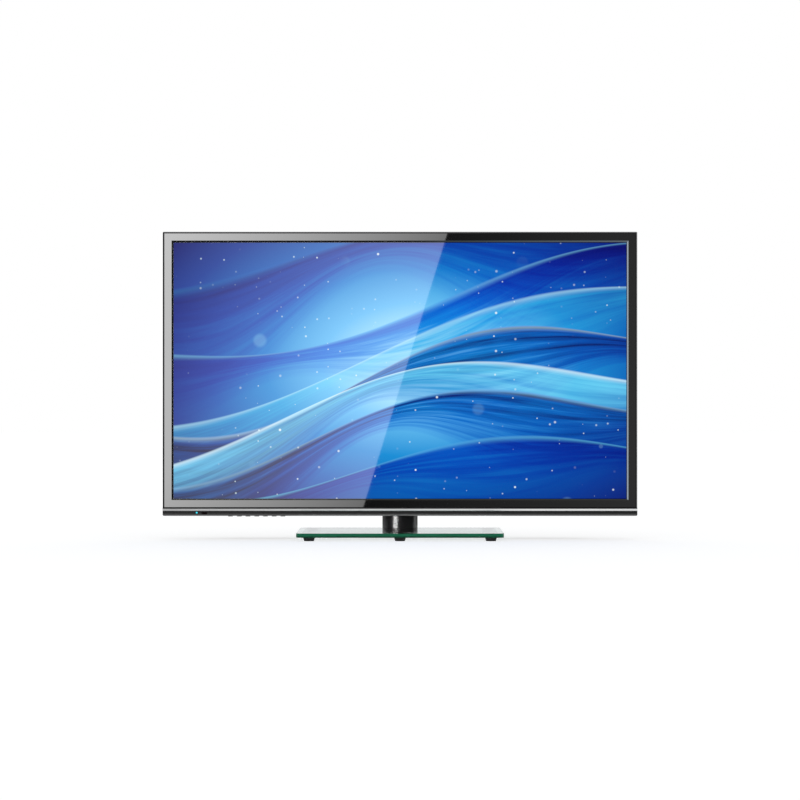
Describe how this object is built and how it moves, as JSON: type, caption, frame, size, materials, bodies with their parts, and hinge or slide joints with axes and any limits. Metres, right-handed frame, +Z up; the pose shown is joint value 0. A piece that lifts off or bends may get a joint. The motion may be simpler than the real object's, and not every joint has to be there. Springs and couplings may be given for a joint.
{
  "type": "flat screen tv",
  "caption": "Slim wide flat screen television with a glossy black frame, silver chin strip and underside keys, on a round swivel neck and a rectangular glass base.",
  "frame": {"origin": "on the table under the neck's swivel axis, at the middle of the glass base", "axes": "+Z up, the screen faces -Y, +X to the viewer's right"},
  "size_m": [0.728, 0.2, 0.472],
  "materials": {
    "piano_black": "high gloss black, clear coated",
    "textured_black": "fine moulded texture",
    "matt_black": "matt moulded",
    "silver_trim": "satin silver paint",
    "steel": "zinc plated",
    "aluminium": "extruded",
    "brass": "turned",
    "base_glass": "clear float glass with a green edge",
    "screen_glass": "glossy panel showing a picture",
    "light_sheet": "white translucent",
    "circuit_board": "green solder mask",
    "rubber": "matt",
    "nylon": "natural",
    "indicator": "clear, lit cyan",
    "socket_blue": "moulded"
  },
  "bodies": {
    "base": {"rubber_feet": "rubber", "glass_base": "base_glass", "clamp_plate": "steel", "base_screws": "steel", "swivel_collar": "piano_black", "spindle": "steel", "thrust_washer": "nylon", "spindle_washers": "steel", "lock_nut": "steel"},
    "display": {"neck_post": "piano_black", "stand_bracket": "steel", "neck_screws": "steel", "bracket_screws": "steel", "front_bezel": "piano_black", "chin_strip": "silver_trim", "chin_bar": "piano_black", "chin_screws": "steel", "indicator_lens": "indicator", "ir_window": "piano_black", "signal_board": "circuit_board", "key_board": "circuit_board", "front_gasket": "rubber", "lcd_cell": "screen_glass", "mid_frame": "matt_black", "prism_sheet": "light_sheet", "diffuser_sheet": "light_sheet", "light_guide": "light_sheet", "reflector_sheet": "light_sheet", "led_strip": "nylon", "heat_spreader": "aluminium", "backlight_tray": "steel", "power_board": "circuit_board", "main_board": "circuit_board", "timing_board": "circuit_board", "board_standoffs": "brass", "board_screws": "steel", "panel_ribbon": "nylon", "supply_ribbon": "nylon", "speaker_boxes": "matt_black", "speaker_drivers": "matt_black", "speaker_gaskets": "rubber", "rear_cover": "textured_black", "cover_posts": "brass", "cover_screws": "steel", "vesa_posts": "steel", "ac_inlet": "matt_black", "hdmi_sockets": "steel", "usb_socket": "steel", "vga_socket": "socket_blue", "av_sockets": "brass", "antenna_socket": "steel", "headphone_socket": "matt_black"},
    "key_power": {"key_power": "piano_black"},
    "key_source": {"key_source": "piano_black"},
    "key_menu": {"key_menu": "piano_black"},
    "key_volume_down": {"key_volume_down": "piano_black"},
    "key_volume_up": {"key_volume_up": "piano_black"},
    "key_channel_down": {"key_channel_down": "piano_black"},
    "key_channel_up": {"key_channel_up": "piano_black"}
  },
  "joints": [
    {"name": "swivel", "type": "hinge", "parent": "base", "child": "display", "pos_m": [0, 0, 0.0168], "axis": [0, 0, 1], "range_deg": [-20, 20]},
    {"name": "press_power", "type": "slide", "parent": "display", "child": "key_power", "axis": [0, 0, 1], "range_m": [0, 0.0005], "stiffness_N_per_m": 800},
    {"name": "press_source", "type": "slide", "parent": "display", "child": "key_source", "axis": [0, 0, 1], "range_m": [0, 0.0005], "stiffness_N_per_m": 800},
    {"name": "press_menu", "type": "slide", "parent": "display", "child": "key_menu", "axis": [0, 0, 1], "range_m": [0, 0.0005], "stiffness_N_per_m": 800},
    {"name": "press_volume_down", "type": "slide", "parent": "display", "child": "key_volume_down", "axis": [0, 0, 1], "range_m": [0, 0.0005], "stiffness_N_per_m": 800},
    {"name": "press_volume_up", "type": "slide", "parent": "display", "child": "key_volume_up", "axis": [0, 0, 1], "range_m": [0, 0.0005], "stiffness_N_per_m": 800},
    {"name": "press_channel_down", "type": "slide", "parent": "display", "child": "key_channel_down", "axis": [0, 0, 1], "range_m": [0, 0.0005], "stiffness_N_per_m": 800},
    {"name": "press_channel_up", "type": "slide", "parent": "display", "child": "key_channel_up", "axis": [0, 0, 1], "range_m": [0, 0.0005], "stiffness_N_per_m": 800}
  ]
}
